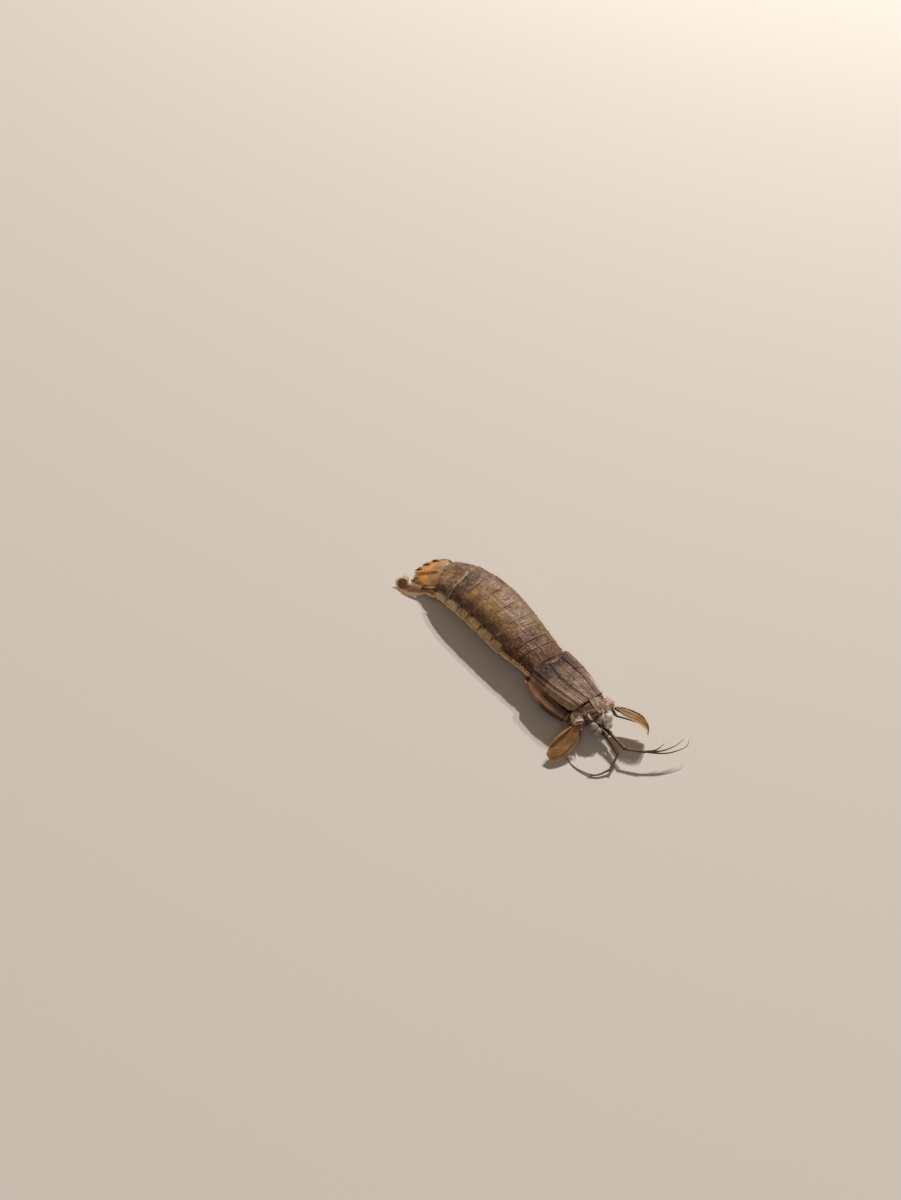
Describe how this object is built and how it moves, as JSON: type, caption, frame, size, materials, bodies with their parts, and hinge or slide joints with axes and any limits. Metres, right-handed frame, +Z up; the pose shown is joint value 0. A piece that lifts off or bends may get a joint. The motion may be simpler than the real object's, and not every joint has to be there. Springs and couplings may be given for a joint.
{
  "type": "mantis shrimp",
  "caption": "Life-size still mantis shrimp lying on its claws and tail fan, head lifted forward, claws folded under a ridged shell.",
  "frame": {"origin": "centre of the bounding box on the floor, under the middle of the animal", "axes": "+X towards the head along the body, +Y towards the left side of the animal, +Z up from the floor"},
  "size_m": [0.1694, 0.0544, 0.019],
  "materials": {
    "carapace": "dry grey-brown shell with dark furrows, satin",
    "thorax": "dry brown shell, satin",
    "abdomen": "dry golden-tan shell, slightly translucent, satin",
    "telson": "orange-tan shell with dark maroon teeth, satin",
    "uropod": "brown blades with pale edges, satin",
    "limb": "dry pale tan skin, matt",
    "claw": "reddish-brown hard shell, light edge, semi-gloss",
    "feeler": "dark brown jointed feelers, matt",
    "scale": "orange-brown leaf-like scales with a hair fringe, satin",
    "eye": "bluish-white clouded eyes, glossy",
    "pleopod": "thin pale tan flaps, matt"
  },
  "bodies": {
    "root": {"thoracic_somite_6": "thorax", "thoracic_somite_7": "thorax", "thoracic_somite_8": "thorax", "trunk": "thorax", "abdominal_somite_1": "abdomen", "abdominal_somite_2": "abdomen", "abdominal_somite_3": "abdomen", "abdominal_somite_4": "abdomen", "abdominal_somite_5": "abdomen", "abdominal_somite_6": "abdomen", "carapace": "carapace", "head": "carapace", "rostral_plate": "carapace", "eyestalk_left": "carapace", "eyestalk_right": "carapace", "cornea_left": "eye", "cornea_right": "eye", "antennule_left": "feeler", "antennule_right": "feeler", "antenna_left": "limb", "antenna_right": "limb", "antennal_scale_left": "scale", "antennal_scale_right": "scale", "claw_merus_left": "claw", "claw_propodus_left": "claw", "claw_dactylus_left": "claw", "maxilliped_1_left": "limb", "maxilliped_3_left": "limb", "maxilliped_4_left": "limb", "maxilliped_5_left": "limb", "walking_leg_6_left": "limb", "walking_leg_7_left": "limb", "walking_leg_8_left": "limb", "pleopod_1_left": "pleopod", "pleopod_2_left": "pleopod", "pleopod_3_left": "pleopod", "pleopod_4_left": "pleopod", "pleopod_5_left": "pleopod", "uropod_base_left": "uropod", "uropod_exopod_left": "uropod", "uropod_endopod_left": "uropod", "claw_merus_right": "claw", "claw_propodus_right": "claw", "claw_dactylus_right": "claw", "maxilliped_1_right": "limb", "maxilliped_3_right": "limb", "maxilliped_4_right": "limb", "maxilliped_5_right": "limb", "walking_leg_6_right": "limb", "walking_leg_7_right": "limb", "walking_leg_8_right": "limb", "pleopod_1_right": "pleopod", "pleopod_2_right": "pleopod", "pleopod_3_right": "pleopod", "pleopod_4_right": "pleopod", "pleopod_5_right": "pleopod", "uropod_base_right": "uropod", "uropod_exopod_right": "uropod", "uropod_endopod_right": "uropod", "telson": "telson"}
  },
  "joints": []
}
